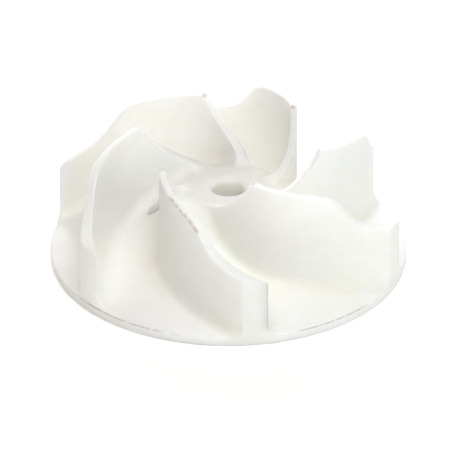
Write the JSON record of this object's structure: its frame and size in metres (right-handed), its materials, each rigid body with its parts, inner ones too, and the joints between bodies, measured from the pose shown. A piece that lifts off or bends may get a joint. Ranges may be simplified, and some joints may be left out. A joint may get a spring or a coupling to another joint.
{
  "type": "pump impeller",
  "caption": "Open centrifugal pump impeller moulded in one piece: a round back plate, a bell-shaped hub with a plain bore, and backward-curved vanes with tall tips.",
  "frame": {"origin": "on the bore axis, in the flat back face", "axes": "+Z along the bore, from the back face towards the inlet; the tip of the first vane stands 45 degrees clockwise of -Y, seen from the inlet"},
  "size_m": [0.11, 0.11, 0.0417],
  "materials": {
    "impeller": "moulded ivory-white plastic, satin, a little worn along the vane edges"
  },
  "bodies": {
    "root": {"impeller": "impeller"}
  },
  "joints": []
}
